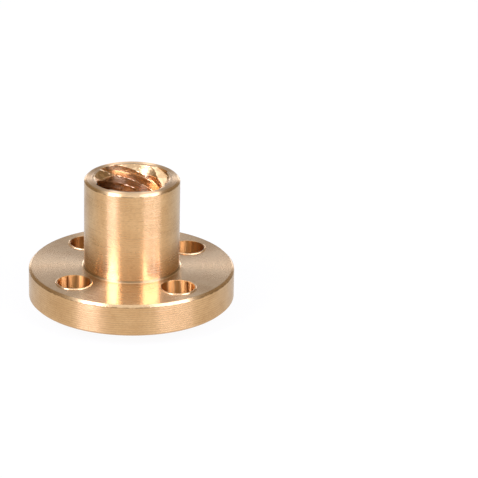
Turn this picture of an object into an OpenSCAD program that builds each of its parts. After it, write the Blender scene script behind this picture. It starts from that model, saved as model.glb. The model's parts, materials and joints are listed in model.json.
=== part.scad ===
// Lead screw nut: flanged barrel nut for a four-start trapezoidal screw.
// Turned from one solid bar, so it is one solid. Millimetres, +Z up, origin at the middle of the pilot end.

/* [Flange] */
// outside diameter of the flange
flange_d = 22; // [20.5:0.5:30]
// thickness of the flange
flange_t = 3.5; // [2.5:0.1:6]
// edge break at both corners of the flange
flange_break = 0.25; // [0.1:0.05:0.5]

/* [Barrel] */
// length of the barrel above the flange
barrel_l = 10; // [5:0.5:25]
// wall of the barrel outside the thread
barrel_wall = 0.85; // [0.7:0.05:1.8]
// edge break at the open end of the barrel
barrel_break = 0.25; // [0.1:0.05:0.4]
// radius left by the tool in the corner between barrel and flange
corner_r = 0.25; // [0.1:0.05:0.4]

/* [Pilot boss] */
// height of the centring boss below the flange
pilot_l = 1.5; // [1:0.1:4]
// wall of the boss outside the thread
pilot_wall = 0.85; // [0.7:0.05:1.8]
// edge break at the end of the boss
pilot_break = 0.3; // [0.1:0.05:0.4]

/* [Bolt holes] */
// diameter of the through holes, clearance for an M3 screw
hole_d = 3.5; // [2.6:0.1:4]
// how far the circle of holes lies inside the middle of the land between barrel and rim
hole_inset = 0.25; // [0:0.05:0.4]
// direction of the first hole, measured from +X
hole_turn = 39; // [0:1:89]
// edge break at both ends of each hole
hole_break = 0.12; // [0.05:0.01:0.3]

/* [Thread] */
// diameter at the bottom of the grooves
thread_major = 8.5; // [8:0.1:10.4]
// depth of the grooves, from the lands to the bottom
thread_depth = 1; // [0.9:0.05:1.3]
// distance from one groove to the next along the axis
thread_pitch = 2; // [1.7:0.1:2.4]
// angle between the two sides of a groove
thread_angle = 30; // [28:1:32]
// room between the screw's crest and the bottom of a groove
root_room = 0.25; // [0.1:0.05:0.3]
// direction of a groove at the open end of the barrel, measured from +X
thread_turn = 41; // [0:1:89]
// depth of the countersink at the open end
mouth_depth = 0.75; // [0.4:0.05:1.15]
// depth of the countersink at the pilot end
pilot_mouth = 0.35; // [0.1:0.05:0.8]

/* [Hidden] */
starts = 4;                                   // grooves round the bore
holes = 4;
round_fn = 120;
turn_step = 12;                               // degrees of twist per slice of the grooves
bore_seam = -10;                              // direction in which the bore's surface is closed
lead = thread_pitch * starts;
total_l = pilot_l + flange_t + barrel_l;
flange_z = pilot_l;                           // underside of the flange
face_z = pilot_l + flange_t;                  // barrel side of the flange
major_r = thread_major / 2;
minor_r = major_r - thread_depth;             // bore over the lands
pitch_r = major_r - root_room - thread_pitch / 4;   // where groove and land are equally wide
flange_r = flange_d / 2;
barrel_r = major_r + barrel_wall;
pilot_r = major_r + pilot_wall;
pcd_r = (barrel_r + flange_r) / 2 - hole_inset;
hole_r = hole_d / 2;

// half the angle a groove takes up at radius r, in degrees
function half_angle(r) = 360 / lead * (thread_pitch / 4 - (r - pitch_r) * tan(thread_angle / 2));
function polar(r, a) = [r * cos(a), r * sin(a)];

// turned outside: pilot boss, flange, barrel, with the tool radius in the upper corner
module turned_body() {
    rotate_extrude($fn = round_fn)
        difference() {
            polygon([
                [0, 0],
                [pilot_r - pilot_break, 0],
                [pilot_r, pilot_break],
                [pilot_r, flange_z],
                [flange_r - flange_break, flange_z],
                [flange_r, flange_z + flange_break],
                [flange_r, face_z - flange_break],
                [flange_r - flange_break, face_z],
                [barrel_r + corner_r, face_z],
                [barrel_r, face_z + corner_r],
                [barrel_r, total_l - barrel_break],
                [barrel_r - barrel_break, total_l],
                [0, total_l]
            ]);
            translate([barrel_r + corner_r, face_z + corner_r])
                circle(r = corner_r, $fn = 48);
        }
}

// one groove seen along the axis: its sides follow the flank of the thread
module groove_section() {
    radii = [minor_r - 0.35, pitch_r, major_r + 0.15];
    polygon(concat(
        [for (r = radii) polar(r, -half_angle(r))],
        [for (i = [len(radii) - 1 : -1 : 0]) polar(radii[i], half_angle(radii[i]))]
    ));
}

// all grooves, right-handed, stopped at the major diameter by a true cylinder
module thread_grooves() {
    over = 0.2;
    h = total_l + 2 * over;
    turn = 360 * h / lead;
    translate([0, 0, -over])
        intersection() {
            cylinder(h = h, r = major_r, $fn = round_fn);
            linear_extrude(height = h, twist = -turn, slices = ceil(turn / turn_step))
                rotate(thread_turn - 360 * (h - over) / lead)
                    for (i = [0 : starts - 1])
                        rotate(i * 360 / starts) groove_section();
        }
}

// bore over the lands with a countersink at each end
module bore() {
    rotate(bore_seam)
        translate([0, 0, -1])
            cylinder(h = total_l + 2, r = minor_r, $fn = round_fn);
    translate([0, 0, total_l - mouth_depth])
        cylinder(h = mouth_depth + 0.2, r1 = minor_r, r2 = minor_r + mouth_depth + 0.2, $fn = round_fn);
    translate([0, 0, -0.2])
        cylinder(h = pilot_mouth + 0.2, r1 = minor_r + pilot_mouth + 0.2, r2 = minor_r, $fn = round_fn);
}

// one bolt hole with its edge breaks
module bolt_hole() {
    translate([0, 0, flange_z - 0.5])
        cylinder(h = flange_t + 1, r = hole_r, $fn = 48);
    translate([0, 0, face_z - hole_break])
        cylinder(h = hole_break + 0.1, r1 = hole_r, r2 = hole_r + hole_break + 0.1, $fn = 48);
    translate([0, 0, flange_z - 0.1])
        cylinder(h = hole_break + 0.1, r1 = hole_r + hole_break + 0.1, r2 = hole_r, $fn = 48);
}

module nut() {
    color([0.83, 0.68, 0.42])
        difference() {
            turned_body();
            bore();
            thread_grooves();
            for (i = [0 : holes - 1])
                rotate(hole_turn + i * 360 / holes)
                    translate([pcd_r, 0, 0]) bolt_hole();
        }
}

nut();
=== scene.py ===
import json
import math

import bpy
from mathutils import Matrix, Vector

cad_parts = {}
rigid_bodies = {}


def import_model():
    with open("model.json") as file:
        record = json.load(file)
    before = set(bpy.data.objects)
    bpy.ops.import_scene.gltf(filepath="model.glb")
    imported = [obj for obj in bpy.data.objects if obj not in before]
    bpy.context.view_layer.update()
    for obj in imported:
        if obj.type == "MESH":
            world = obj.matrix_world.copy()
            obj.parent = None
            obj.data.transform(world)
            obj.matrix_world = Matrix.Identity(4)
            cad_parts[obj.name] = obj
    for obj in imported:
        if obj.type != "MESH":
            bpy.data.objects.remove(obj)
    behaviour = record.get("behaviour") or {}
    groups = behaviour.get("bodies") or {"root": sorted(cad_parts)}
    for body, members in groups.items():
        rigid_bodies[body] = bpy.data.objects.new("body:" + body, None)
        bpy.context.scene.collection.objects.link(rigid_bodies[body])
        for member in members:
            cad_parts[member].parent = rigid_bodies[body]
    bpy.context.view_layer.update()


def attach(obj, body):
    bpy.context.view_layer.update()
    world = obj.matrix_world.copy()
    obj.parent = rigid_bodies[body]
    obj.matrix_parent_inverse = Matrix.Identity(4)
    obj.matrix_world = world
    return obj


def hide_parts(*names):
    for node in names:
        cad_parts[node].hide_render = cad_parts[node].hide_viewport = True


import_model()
mm = 0.001


# a node socket that takes part in Python expressions, in shader and geometry trees alike
class Wire:
    def __init__(self, tree, socket=None):
        self.tree = tree
        self.socket = socket

    def make(self, kind, settings=None, values=None, out=0):
        node = self.tree.nodes.new(kind)
        for name, value in (settings or {}).items():
            if name == "stops":  # a ramp: position and colour of each stop
                ramp = node.color_ramp
                while len(ramp.elements) < len(value):
                    ramp.elements.new(0.5)
                for element, (place, color) in zip(ramp.elements, value):
                    element.position = place
                    element.color = color
            elif name == "points":  # a float curve of straight stretches
                curve = node.mapping.curves[0]
                for place, height in value[1:-1]:
                    curve.points.new(place, height)
                for point, (place, height) in zip(curve.points, value):
                    point.location = (place, height)
                    point.handle_type = "VECTOR"
                node.mapping.update()
            elif name == "choices":  # an index switch with that many items
                while len(node.index_switch_items) < value:
                    node.index_switch_items.new()
            else:
                setattr(node, name, value)
        for name, value in (values or {}).items():
            for part in value if isinstance(value, list) else [value]:
                if isinstance(part, Wire):
                    self.tree.links.new(part.socket, node.inputs[name])
                else:
                    node.inputs[name].default_value = part
        return Wire(self.tree, node.outputs[out] if node.outputs else None)

    def other(self, name):  # another output of the same node
        return Wire(self.tree, self.socket.node.outputs[name])

    def math(self, operation, *rest):
        return self.make("ShaderNodeMath", {"operation": operation}, dict(enumerate([self, *rest])))

    def back(self, operation, first):  # the reflected form, with this wire second
        return self.make("ShaderNodeMath", {"operation": operation}, {0: first, 1: self})

    def __add__(self, rest):
        return self.math("ADD", rest)

    def __radd__(self, first):
        return self.back("ADD", first)

    def __sub__(self, rest):
        return self.math("SUBTRACT", rest)

    def __rsub__(self, first):
        return self.back("SUBTRACT", first)

    def __mul__(self, rest):
        return self.math("MULTIPLY", rest)

    def __rmul__(self, first):
        return self.back("MULTIPLY", first)

    def __truediv__(self, rest):
        return self.math("DIVIDE", rest)

    def __rtruediv__(self, first):
        return self.back("DIVIDE", first)

    def __neg__(self):
        return self.back("SUBTRACT", 0.0)

    def __abs__(self):
        return self.math("ABSOLUTE")

    def over(self, limit):  # 1 where this is above the limit
        return self.math("GREATER_THAN", limit)

    def under(self, limit):
        return self.math("LESS_THAN", limit)

    def span(self, low, high, start=0.0, end=1.0):  # a clamped ramp from start to end
        return self.make("ShaderNodeMapRange", {"clamp": True}, {0: self, 1: low, 2: high, 3: start, 4: end})

    def pick(self, color, otherColor):  # colour by this factor
        return self.make("ShaderNodeMix", {"data_type": "RGBA"}, {0: self, 6: color, 7: otherColor}, 2)


def startTree(name, sizes):
    tree = bpy.data.node_groups.new(name, "GeometryNodeTree")
    tree.interface.new_socket("Geometry", in_out="OUTPUT", socket_type="NodeSocketGeometry")
    for label, value in sizes.items():
        kind = "NodeSocketInt" if isinstance(value, int) else "NodeSocketFloat"
        tree.interface.new_socket(label, in_out="INPUT", socket_type=kind)
    source = tree.nodes.new("NodeGroupInput")
    wires = {label: Wire(tree, source.outputs[label]) for label in sizes}
    return tree, Wire(tree), wires


def endTree(tree, shape, material):
    shape = shape.make("GeometryNodeRealizeInstances", values={0: shape})
    shape = shape.make("GeometryNodeSetMaterial", values={"Geometry": shape, "Material": material})
    tree.links.new(shape.socket, tree.nodes.new("NodeGroupOutput").inputs[0])


# runs a tree once and keeps what it makes as a plain mesh object
def grow(name, tree, sizes, material):
    seed = bpy.data.objects.new(name, bpy.data.meshes.new(name + "Seed"))
    bpy.context.scene.collection.objects.link(seed)
    nodes = seed.modifiers.new("grow", "NODES")
    nodes.node_group = tree
    for socket in tree.interface.items_tree:
        if socket.in_out == "INPUT":
            nodes[socket.identifier] = sizes[socket.name]
    even = seed.modifiers.new("even", "WEIGHTED_NORMAL")
    even.keep_sharp = True
    even.weight = 90
    bpy.context.view_layer.update()
    graph = bpy.context.evaluated_depsgraph_get()
    grown = seed.evaluated_get(graph)
    mesh = bpy.data.meshes.new_from_object(grown, preserve_all_data_layers=True, depsgraph=graph)
    mesh.name = name
    bpy.data.objects.remove(seed)
    mesh.materials.clear()
    mesh.materials.append(material)
    piece = bpy.data.objects.new(name, mesh)
    bpy.context.scene.collection.objects.link(piece)
    return piece


brassLook = {
    "color": (0.78, 0.525, 0.285, 1),
    "deepColor": (0.70, 0.445, 0.225, 1),
    "lineColor": (0.56, 0.35, 0.175, 1),
    # the thread below its mouth painted paler than the outside brass, as painted light
    "insideLitColor": (0.92, 0.62, 0.35, 1),
    # the holes painted deeper and warmer: painted shade and warm painted reflection inside the bores
    "holeShadeColor": (0.62, 0.29, 0.085, 1),
    # dark colour for the worn lines and the drill and tap scores, and also for the painted shade in the
    # corner round the barrel's foot
    "darkMarkAndShadeColor": (0.30, 0.185, 0.085, 1),
    "roughness": 0.24,
    "grainRoughness": 0.025,
    "faceRoughness": 0.1,    # more on the barrel's faced end
    "footRoughness": 0.15,   # more in the corner round the barrel's foot
    "threadRoughness": 0.21,
    "holeRoughness": 0.5,
    "anisotropic": 1.0,
    "fanTurn": 0.25,         # of a turn: highlights fan out along the axis
    "holeRadius": 1.79,      # mm from here on, where the drilled finish ends
    "holeCircle": 7.8,
    "holeTurn": 39.0,        # degrees
    "boreRadius": 4.3,
    "lead": 8.0,
    "mouthHeight": 14.2,     # where the bare thread gives way to the countersink
    "coneHeight": 14.3,      # where the countersink's own marks begin
    "faceHeight": 14.9,
    "shadedFootHeight": (5.03, 5.09, 5.22, 5.3),    # the band of painted shade, also rougher, fades in and out
    "shadedFootRadius": (5.4, 5.5),
    "feed": 0.245,           # from one of the tool's lines to the next
    "rimRadius": 10.7,       # the flange's edge shows them most
    "wornHeight": 0.07,      # half the height of the worn lines
    "edges": ((4.74, 10.85), (14.74, 4.95)),  # height and least radius of the worn lines
}


def makeBrass():
    look = brassLook
    material = bpy.data.materials.new("turnedBrass")
    material.use_nodes = True
    tree = material.node_tree
    tree.nodes.clear()
    start = Wire(tree)
    place = start.make("ShaderNodeTexCoord", out="Object")
    parts = start.make("ShaderNodeSeparateXYZ", values={0: place})
    x, y, z = parts / mm, parts.other("Y") / mm, parts.other("Z") / mm
    radius = (x * x + y * y).math("SQRT")

    # which finish: drilled hole, threaded bore, or turned outside
    holeAngle = math.radians(look["holeTurn"])
    u = abs(x * math.cos(holeAngle) + y * math.sin(holeAngle))
    v = abs(y * math.cos(holeAngle) - x * math.sin(holeAngle))
    far, near = u.math("MAXIMUM", v) - look["holeCircle"], u.math("MINIMUM", v)
    fromHole = (far * far + near * near).math("SQRT")
    drilled = fromHole.span(look["holeRadius"], look["holeRadius"] + 0.04, 1.0, 0.0)
    threaded = radius.span(look["boreRadius"] - 0.06, look["boreRadius"], 1.0, 0.0)

    # the tool's lines: even feed, broken up by a noise that is long round the axis
    streaks = start.make("ShaderNodeCombineXYZ", values={0: x * 0.35 + y * 0.2, 1: radius * 6.0, 2: z * 6.0})
    streak = start.make("ShaderNodeTexNoise", values={"Vector": streaks, "Scale": 1.0, "Detail": 4.0})
    lines = ((z + radius) * (2 * math.pi / look["feed"]) + streak * 4.0).math("SINE") * 0.5 + 0.5
    lines = lines * radius.span(look["rimRadius"] - 0.2, look["rimRadius"], 0.25, 1.0)

    # stains, grains, chips, pits and swells, in the metal as a whole
    cloud = start.make("ShaderNodeTexNoise", values={"Vector": place, "Scale": 420.0, "Detail": 5.0})
    grit = start.make("ShaderNodeCombineXYZ", values={0: x * 3.0, 1: y * 3.0, 2: z * 4.2})
    mottle = start.make("ShaderNodeTexNoise", values={"Vector": grit, "Scale": 1.0, "Detail": 3.0})
    chips = start.make("ShaderNodeTexNoise", values={"Vector": place, "Scale": 1700.0, "Detail": 4.0})
    pits = start.make("ShaderNodeTexNoise", values={"Vector": place, "Scale": 2600.0, "Detail": 2.0})
    swell = start.make("ShaderNodeTexNoise", values={"Vector": place, "Scale": 1500.0, "Detail": 3.0})

    # the drill's marks: a noise that is long along the axis
    drawn = start.make("ShaderNodeCombineXYZ", values={0: x * 5.0, 1: y * 5.0, 2: z * 0.5})
    scores = start.make("ShaderNodeTexNoise", values={"Vector": drawn, "Scale": 1.0, "Detail": 3.0})

    # the tap's marks: a noise that is long along the helix
    helix = y.math("ARCTAN2", x) - z * (2 * math.pi / look["lead"])
    helical = start.make("ShaderNodeCombineXYZ", values={
        0: helix.math("COSINE") * 11.0, 1: helix.math("SINE") * 11.0, 2: z * 0.6 + radius})
    tapped = start.make("ShaderNodeTexNoise", values={"Vector": helical, "Scale": 1.0, "Detail": 3.0})

    color = cloud.span(0.38, 0.66).pick(look["color"], look["deepColor"])
    marks = streak.span(0.52, 0.7) * 0.1 + lines * 0.45 + mottle.span(0.45, 0.7) * 0.33
    marks = marks * (1.0 - threaded * 0.5)
    color = marks.math("MINIMUM", 1.0).pick(color, look["lineColor"])

    # ragged dark lines just under the edge breaks
    for edge, least in look["edges"]:
        worn = (1.0 - abs(z - edge) / look["wornHeight"]).math("MAXIMUM", 0.0) * radius.over(least)
        color = (worn * chips.span(0.46, 0.56) * 0.9).pick(color, look["darkMarkAndShadeColor"])

    # the holes painted deeper as painted shade, the thread below its mouth painted paler as painted light,
    # the countersink, and painted shade in the corner round the barrel's foot
    inside = threaded * z.span(look["mouthHeight"] - 0.15, look["mouthHeight"] + 0.15, 1.0, 0.0)
    color = drilled.pick(inside.pick(color, look["insideLitColor"]), look["holeShadeColor"])
    color = (drilled * scores.span(0.4, 0.65) * 0.35).pick(color, look["darkMarkAndShadeColor"])
    color = (inside * tapped.span(0.45, 0.7) * 0.5).pick(color, look["darkMarkAndShadeColor"])
    cone = threaded * z.over(look["coneHeight"])
    color = (cone * chips.span(0.42, 0.5) * 0.9).pick(color, look["lineColor"])
    # painted shade: the corner round the barrel's foot is painted darker, and made rougher
    footStart, footFull, footFade, footEnd = look["shadedFootHeight"]
    shadedFoot = z.span(footStart, footFull) * z.span(footFade, footEnd, 1.0, 0.0)
    shadedFoot = shadedFoot * radius.span(*look["shadedFootRadius"], 1.0, 0.0)
    color = (shadedFoot * 0.7).pick(color, look["darkMarkAndShadeColor"])

    smooth, grain = look["roughness"], look["grainRoughness"]
    rough = streak.span(0.3, 0.7, smooth - grain, smooth + grain) + cloud.span(0.4, 0.7, 0.0, 0.04)
    rough = rough + z.over(look["faceHeight"]) * look["faceRoughness"]
    rough = rough + threaded * (look["threadRoughness"] - rough)
    rough = rough + drilled * (look["holeRoughness"] - rough) + shadedFoot * look["footRoughness"]

    # heights in mm
    height = streak * 0.0006 + mottle * 0.0012 + swell * 0.002 + pits.span(0.62, 0.75) * -0.003
    height = height + threaded * (tapped * 0.006 + mottle * 0.012)
    height = height + cone * chips * 0.012
    bump = start.make("ShaderNodeBump", values={"Strength": 1.0, "Distance": 1.0 * mm, "Height": height})
    shader = start.make("ShaderNodeBsdfPrincipled", values={
        "Base Color": color,
        "Metallic": 1.0,
        "Roughness": rough,
        "Anisotropic": look["anisotropic"],
        "Anisotropic Rotation": look["fanTurn"],
        "Normal": bump,
    })
    start.make("ShaderNodeOutputMaterial", values={0: shader})
    return material


brass = makeBrass()
print("brass: turned, drilled and tapped finishes in one material")

nutSizes = {
    "Length": 15.0 * mm,
    "Barrel Radius": 5.1 * mm,
    "Barrel Break": 0.25 * mm,
    "Corner Radius": 0.25 * mm,
    "Flange Radius": 10.99 * mm,
    "Flange Low": 1.5 * mm,
    "Flange High": 5.0 * mm,
    "Flange Break": 0.25 * mm,
    "Pilot Radius": 5.1 * mm,
    "Pilot Break": 0.3 * mm,
    "Ring Radius": 4.45 * mm,
    "Worn Edge": 0.035 * mm,
    "Minor Radius": 3.25 * mm,
    "Major Radius": 4.25 * mm,
    "Root Half Turn": 13.44,
    "Crest Half Turn": 25.51,
    "Thread Lead": 8.0 * mm,
    "Thread Turn": 41.0,
    "Crest Wear": 0.08 * mm,
    "Crest Burr": 0.28 * mm,
    "Mouth Wear": 0.03 * mm,
    "Mouth Depth": 0.75 * mm,
    "Pilot Mouth": 0.35 * mm,
    "Hole Radius": 1.75 * mm,
    "Hole Circle": 7.8 * mm,
    "Hole Turn": 39.0,
    "Hole Break": 0.12 * mm,
    "Lip Width": 0.125 * mm,
    "Lip Height": 0.095 * mm,
    "Lip Wander": 0.025 * mm,
    "Starts": 4,
    "Holes": 4,
    "Columns Per Start": 48,
    "Bore Rows": 150,
}

# share of a start's columns against share of its angle: close together at the groove's corners
columnSpread = [
    (0.0, 0.0), (0.10, 0.185), (0.21, 0.235), (0.29, 0.335), (0.42, 0.365), (0.5, 0.5),
    (0.58, 0.635), (0.71, 0.665), (0.79, 0.765), (0.90, 0.815), (1.0, 1.0),
]
# share of the bore's rows against share of its length: close together near the open end
rowSpread = [
    (0.0, 0.0), (0.03, 0.0035), (0.11, 0.04), (0.38, 0.70), (0.97, 0.9965), (1.0, 1.0),
]


def makeNut():
    tree, start, size = startTree("turnedNut", nutSizes)
    length, minor, major = size["Length"], size["Minor Radius"], size["Major Radius"]

    # the turned outside as one line of corners, from the open end round to the pilot end
    barrel, flange, pilot = size["Barrel Radius"], size["Flange Radius"], size["Pilot Radius"]
    low, high = size["Flange Low"], size["Flange High"]
    worn = size["Worn Edge"]
    corners = [
        (size["Ring Radius"], length, 0.0),
        (barrel - size["Barrel Break"], length, worn),
        (barrel, length - size["Barrel Break"], worn),
        (barrel, high, size["Corner Radius"]),
        (flange - size["Flange Break"], high, worn),
        (flange, high - size["Flange Break"], worn),
        (flange, low + size["Flange Break"], worn),
        (flange - size["Flange Break"], low, worn),
        (pilot, low, worn),
        (pilot, size["Pilot Break"], worn),
        (pilot - size["Pilot Break"], 0.0, worn),
        (size["Ring Radius"], 0.0, 0.0),
    ]
    index = start.make("GeometryNodeInputIndex")

    def byCorner(item):
        values = {0: index}
        values.update({i + 1: corner[item] for i, corner in enumerate(corners)})
        settings = {"data_type": "FLOAT", "choices": len(corners)}
        return start.make("GeometryNodeIndexSwitch", settings, values)

    line = start.make("GeometryNodeMeshLine", values={"Count": len(corners)})
    line = start.make("GeometryNodeMeshToCurve", values={0: line})
    spot = start.make("ShaderNodeCombineXYZ", values={0: byCorner(0), 2: byCorner(1)})
    line = start.make("GeometryNodeSetPosition", values={"Geometry": line, "Position": spot})
    line = start.make("GeometryNodeFilletCurve", {"mode": "POLY"}, {
        "Curve": line, "Count": 6, "Radius": byCorner(2)})
    count = start.make("GeometryNodeAttributeDomainSize", {"component": "CURVE"}, {0: line})

    # one grid for the whole skin: its first rows are the bore, the rest follow the line
    boreRows, perStart = size["Bore Rows"], size["Columns Per Start"]
    rows = boreRows + count
    columns = size["Starts"] * perStart
    sheet = start.make("GeometryNodeMeshGrid", values={
        "Size X": 1.0, "Size Y": 1.0, "Vertices X": columns + 1, "Vertices Y": rows + 1})
    place = start.make("GeometryNodeInputPosition")
    axes = start.make("ShaderNodeSeparateXYZ", values={0: place})
    column = ((axes + 0.5) * columns).math("ROUND")
    row = ((axes.other("Y") + 0.5) * rows).math("ROUND").math("MODULO", rows)
    share = column / perStart
    startNumber = share.math("FLOOR")
    spread = start.make("ShaderNodeFloatCurve", {"points": columnSpread}, {"Value": share - startNumber})
    phase = spread * 90.0 - 45.0  # degrees from the middle of a groove
    turn = phase + startNumber * 90.0 + size["Thread Turn"]

    # bore: groove, land and both countersinks, along the helix
    depthShare = start.make("ShaderNodeFloatCurve", {"points": rowSpread}, {"Value": row / (boreRows - 1)})
    boreHeight = depthShare * length
    slope = (abs(phase) - size["Root Half Turn"]) / (size["Crest Half Turn"] - size["Root Half Turn"])
    flank = major - slope * (major - minor)
    wear = size["Crest Wear"]
    groove = flank.math("SMOOTH_MAX", minor, wear).math("SMOOTH_MIN", major, wear)
    mouth = minor + boreHeight - (length - size["Mouth Depth"])
    pilotMouth = minor + size["Pilot Mouth"] - boreHeight
    mouthWear = size["Mouth Wear"]
    boreRadius = groove.math("SMOOTH_MAX", mouth, mouthWear).math("SMOOTH_MAX", pilotMouth, mouthWear)

    # the cutter leaves a ragged edge along both sides of each land
    boreTurn = turn + (boreHeight - length) / size["Thread Lead"] * 360.0
    along = boreTurn * (math.pi / 180)
    spot = start.make("ShaderNodeCombineXYZ", values={
        0: along.math("COSINE") * 3.3, 1: along.math("SINE") * 3.3, 2: boreHeight / mm})
    burr = start.make("ShaderNodeTexNoise", values={
        "Vector": spot, "Scale": 3.2, "Detail": 4.0, "Roughness": 0.7})
    atEdge = (1.0 - abs(slope - 1.0) * 3.5).math("MAXIMUM", 0.0)
    boreRadius = boreRadius - (burr - 0.47) * atEdge * size["Crest Burr"]  # the noise's middle is 0.47
    nearEnd = boreHeight.math("MINIMUM", length - boreHeight)
    inEdge = (worn - nearEnd).math("MAXIMUM", 0.0)
    boreRadius = boreRadius + worn - (worn * worn - inEdge * inEdge).math("MAXIMUM", 0.0).math("SQRT")

    # outside: the same columns, turned half a start further on the underside to meet the bore's other end
    sample = start.make("GeometryNodeSampleIndex", {"data_type": "FLOAT_VECTOR", "clamp": True}, {
        "Geometry": line, "Value": place, "Index": row - boreRows})
    skin = start.make("ShaderNodeSeparateXYZ", values={0: sample})
    skinRadius, skinHeight = skin, skin.other("Z")
    inward = skinHeight.under(low + worn) * skinRadius.under((pilot + flange) * 0.5)
    skinTurn = turn + inward * (length / size["Thread Lead"] * -360.0)

    isBore = row.under(boreRows - 0.5)

    def either(inner, outer):
        return outer + isBore * (inner - outer)

    angle = either(boreTurn, skinTurn) * (math.pi / 180)
    radius = either(boreRadius, skinRadius)
    height = either(boreHeight, skinHeight)
    where = start.make("ShaderNodeCombineXYZ", values={
        0: radius * angle.math("COSINE"), 1: radius * angle.math("SINE"), 2: height})
    skinMesh = start.make("GeometryNodeSetPosition", values={"Geometry": sheet, "Position": where})
    skinMesh = start.make("GeometryNodeMergeByDistance", values={
        "Geometry": skinMesh, "Distance": 0.001 * mm})

    # bolt holes on a circle: a drill and the edge break below, as the upper edge has its lip instead
    holeRadius, holeBreak = size["Hole Radius"], size["Hole Break"]
    thick = high - low
    drill = start.make("GeometryNodeMeshCylinder", values={
        "Vertices": 72, "Radius": holeRadius, "Depth": thick + 1.0 * mm})
    over = 0.1 * mm
    sink = start.make("GeometryNodeMeshCone", values={
        "Vertices": 72, "Radius Top": holeRadius + holeBreak + over, "Radius Bottom": holeRadius,
        "Depth": holeBreak + over})
    lowSink = start.make("GeometryNodeTransform", values={
        "Geometry": sink,
        "Translation": start.make("ShaderNodeCombineXYZ", values={2: holeBreak - thick / 2}),
        "Rotation": (math.pi, 0, 0)})
    ring = start.make("GeometryNodeMeshCircle", values={
        "Vertices": size["Holes"], "Radius": size["Hole Circle"]})
    ring = start.make("GeometryNodeTransform", values={
        "Geometry": ring,
        "Translation": start.make("ShaderNodeCombineXYZ", values={2: (low + high) / 2}),
        "Rotation": start.make("ShaderNodeCombineXYZ", values={2: size["Hole Turn"] * (math.pi / 180)})})

    def drilled(tool):
        tools = start.make("GeometryNodeInstanceOnPoints", values={"Points": ring, "Instance": tool})
        return start.make("GeometryNodeRealizeInstances", values={0: tools})

    # the raised lip that the drill leaves round each hole, uneven round its edge
    lipLine = start.make("GeometryNodeCurvePrimitiveCircle", values={
        "Resolution": 90, "Radius": holeRadius + size["Lip Width"] * 0.9})
    lipSection = start.make("GeometryNodeCurvePrimitiveCircle", values={
        "Resolution": 10, "Radius": size["Lip Width"]})
    lip = start.make("GeometryNodeCurveToMesh", values={"Curve": lipLine, "Profile Curve": lipSection})
    lip = start.make("GeometryNodeTransform", values={
        "Geometry": lip,
        "Translation": start.make("ShaderNodeCombineXYZ", values={2: thick / 2}),
        "Scale": start.make("ShaderNodeCombineXYZ", values={
            0: 1.0, 1: 1.0, 2: size["Lip Height"] / size["Lip Width"]})})
    lips = drilled(lip)
    ragged = start.make(
        "ShaderNodeTexNoise", values={"Vector": place, "Scale": 1900.0, "Detail": 3.0}, out="Color")
    wander = start.make("ShaderNodeVectorMath", {"operation": "SUBTRACT"}, {0: ragged, 1: (0.5, 0.5, 0.5)})
    wander = start.make("ShaderNodeVectorMath", {"operation": "SCALE"}, {
        0: wander, "Scale": size["Lip Wander"] * 2.0})
    lips = start.make("GeometryNodeSetPosition", values={"Geometry": lips, "Offset": wander})

    joined = start.make("GeometryNodeMeshBoolean", {"operation": "UNION", "solver": "EXACT"}, {
        "Mesh 2": [skinMesh, lips]})
    cuts = {"operation": "DIFFERENCE", "solver": "EXACT"}
    solid = start.make("GeometryNodeMeshBoolean", cuts, {
        "Mesh 1": joined, "Mesh 2": [drilled(drill), drilled(lowSink)]})

    # smooth, but for edges sharper than the rounding's own steps
    solid = start.make("GeometryNodeSetShadeSmooth", {"domain": "FACE"}, {
        "Geometry": solid, "Shade Smooth": True})
    bend = start.make("GeometryNodeInputMeshEdgeAngle")
    solid = start.make("GeometryNodeSetShadeSmooth", {"domain": "EDGE"}, {
        "Geometry": solid, "Selection": bend.over(math.radians(24)), "Shade Smooth": False})
    endTree(tree, solid, brass)
    return grow("nutBody", tree, nutSizes, brass)


nutBody = makeNut()
print("nut body:", len(nutBody.data.vertices), "vertices,", len(nutBody.data.polygons), "faces")

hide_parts("nut")
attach(nutBody, "root")

studio = {
    "floorSize": 1.2,
    "lensMm": 239.87,
    "distance": 340.2 * mm,
    "lookDown": 22.41,      # degrees
    "aimHeight": 7.5 * mm,
    "panRight": 1.9278,
    "tiltUp": 0.0901,
    "roll": 0.3777,
    "floorColor": (0.8, 0.8, 0.8, 1),
    "floorGlow": 0.93,               # share of plain white in the floor, the rest keeps the shadow
    "floorInMetal": (0.92, 0.83, 0.7, 1),
    "floorBehind": (0.74, 0.78, 0.83, 1),
    "floorChange": 15 * mm,          # half the depth over which one becomes the other
    "roomLevel": 0.6,
    "roomInMetal": (0.84, 0.89, 1.0, 1),
    "backInMetal": (0.59, 0.63, 0.73, 1),
    "backFrom": (135, 160, 0, 1),
    "flagInMetal": (0.34, 0.28, 0.2, 1),
    "flagFront": (74, 92, 0, 1),     # degrees from the front: where the dim side begins
    "flagBack": (150, 168, 1, 0),
    "flagTop": (42, 60, 1, 0),       # degrees above the floor
    "cardFrom": (155, 159, 0, 1),    # two pale cards low behind the nut, left and right
    "cardTo": (167, 174, 1, 0),
    "cardTop": (16, 22, 1, 0),
    "cardGain": 4.6,
    "ceiling": (52, 64, 0, 1),
    "ceilingGain": 2.0,
    "ceilingFront": (60, 110, 0.3, 1),
    "lampColor": (0.93, 0.95, 1.3),
    "lampUp": 32,                    # degrees above the floor
    "lampDistance": 0.6,
    "lampHeight": 0.45,
    # name, degrees to the right of the front, width, watts
    "lamps": (("leftBox", -48.5, 0.26, 4.2), ("rightBox", 50.5, 0.44, 3.9)),
}


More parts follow.
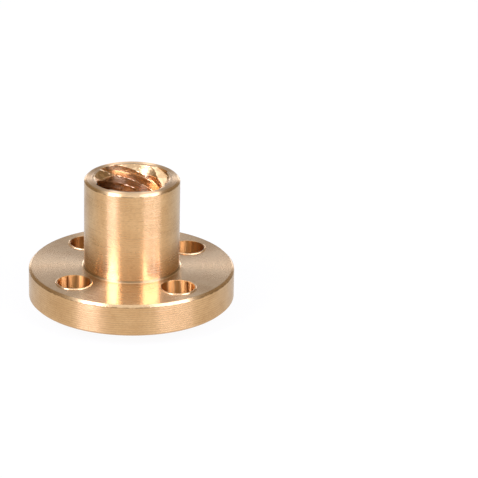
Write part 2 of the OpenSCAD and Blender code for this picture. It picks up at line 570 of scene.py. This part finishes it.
def makeFloor():
    size = studio["floorSize"]
    mesh = bpy.data.meshes.new("floor")
    corners = [(-size, -size, 0), (size, -size, 0), (size, size, 0), (-size, size, 0)]
    mesh.from_pydata(corners, [], [(0, 1, 2, 3)])
    floor = bpy.data.objects.new("floor", mesh)
    bpy.context.scene.collection.objects.link(floor)
    material = bpy.data.materials.new("paleFloor")
    material.use_nodes = True
    tree = material.node_tree
    tree.nodes.clear()
    start = Wire(tree)
    path = start.make("ShaderNodeLightPath", out="Is Camera Ray")
    mirrored = path.other("Is Glossy Ray")
    seen = (path + mirrored + path.other("Is Transmission Ray")).math("MINIMUM", 1.0)
    matt = start.make("ShaderNodeBsdfDiffuse", values={"Color": studio["floorColor"]})
    place = start.make("ShaderNodeTexCoord", out="Object")
    change = studio["floorChange"]
    back = start.make("ShaderNodeSeparateXYZ", values={0: place}, out="Y").span(-change, change)
    glow = start.make("ShaderNodeEmission", values={
        "Color": mirrored.pick((1, 1, 1, 1), back.pick(studio["floorInMetal"], studio["floorBehind"])),
        "Strength": 1.0})
    shader = start.make("ShaderNodeMixShader", values={0: seen * studio["floorGlow"], 1: matt, 2: glow})
    start.make("ShaderNodeOutputMaterial", values={0: shader})
    mesh.materials.append(material)


def makeCamera():
    look = math.radians(studio["lookDown"])
    target = Vector((0, 0, studio["aimHeight"]))
    away = Vector((0, -math.cos(look), math.sin(look))) * studio["distance"]
    data = bpy.data.cameras.new("camera")
    data.lens = studio["lensMm"]
    data.sensor_width = 36
    data.clip_start = 0.01
    camera = bpy.data.objects.new("camera", data)
    bpy.context.scene.collection.objects.link(camera)
    aim = (-away).to_track_quat("-Z", "Y").to_matrix().to_4x4()
    pan = Matrix.Rotation(-math.radians(studio["panRight"]), 4, "Y")
    tilt = Matrix.Rotation(math.radians(studio["tiltUp"]), 4, "X")
    roll = Matrix.Rotation(math.radians(studio["roll"]), 4, "Z")
    camera.matrix_world = Matrix.Translation(target + away) @ aim @ pan @ tilt @ roll
    bpy.context.scene.camera = camera


def softbox(name, azimuth, width, power):
    data = bpy.data.lights.new(name, "AREA")
    data.shape = "RECTANGLE"
    data.size = width
    data.size_y = studio["lampHeight"]
    data.energy = power
    data.color = studio["lampColor"]
    lamp = bpy.data.objects.new(name, data)
    bpy.context.scene.collection.objects.link(lamp)
    a, e = math.radians(azimuth), math.radians(studio["lampUp"])
    away = Vector((math.sin(a) * math.cos(e), -math.cos(a) * math.cos(e), math.sin(e)))
    spot = away * studio["lampDistance"]
    lamp.matrix_world = Matrix.Translation(spot) @ (-spot).to_track_quat("-Z", "Y").to_matrix().to_4x4()


def makeWorld():
    world = bpy.data.worlds.new("studio")
    bpy.context.scene.world = world
    world.use_nodes = True
    tree = world.node_tree
    tree.nodes.clear()
    start = Wire(tree)
    path = start.make("ShaderNodeLightPath", out="Is Camera Ray")
    mirrored = path.other("Is Glossy Ray")
    seen = (path + path.other("Is Transmission Ray")).math("MINIMUM", 1.0)

    # what metal mirrors: an even room, dim at both sides, two pale cards behind, a bright ceiling
    room = start.make("ShaderNodeTexCoord", out="Generated")
    ways = start.make("ShaderNodeSeparateXYZ", values={0: room})
    sideways = abs(ways.math("ARCTAN2", -ways.other("Y"))) * (180 / math.pi)  # 0 in front, 180 behind
    upward = ways.other("Z").math("ARCSINE") * (180 / math.pi)
    flags = sideways.span(*studio["flagFront"]) * sideways.span(*studio["flagBack"])
    flags = flags * upward.span(*studio["flagTop"])
    cards = sideways.span(*studio["cardFrom"]) * sideways.span(*studio["cardTo"])
    cards = cards * upward.span(*studio["cardTop"])
    ceiling = upward.span(*studio["ceiling"]) * sideways.span(*studio["ceilingFront"])
    level = 1.0 + ceiling * studio["ceilingGain"] + cards * studio["cardGain"]
    roomLevel = studio["roomLevel"]
    strength = seen + (1.0 - seen) * (roomLevel + mirrored * (level - roomLevel))
    behind = sideways.span(*studio["backFrom"]).pick(studio["roomInMetal"], studio["backInMetal"])
    color = mirrored.pick((1, 1, 1, 1), flags.pick(behind, studio["flagInMetal"]))
    sky = start.make("ShaderNodeBackground", values={"Color": color, "Strength": strength})
    start.make("ShaderNodeOutputWorld", values={0: sky})


makeFloor()
makeCamera()
makeWorld()
for name, azimuth, width, power in studio["lamps"]:
    softbox(name, azimuth, width, power)
print("studio: floor, camera, world and", len(studio["lamps"]), "lamps")
bpy.context.scene.view_settings.view_transform = "Standard"

print("finishing")
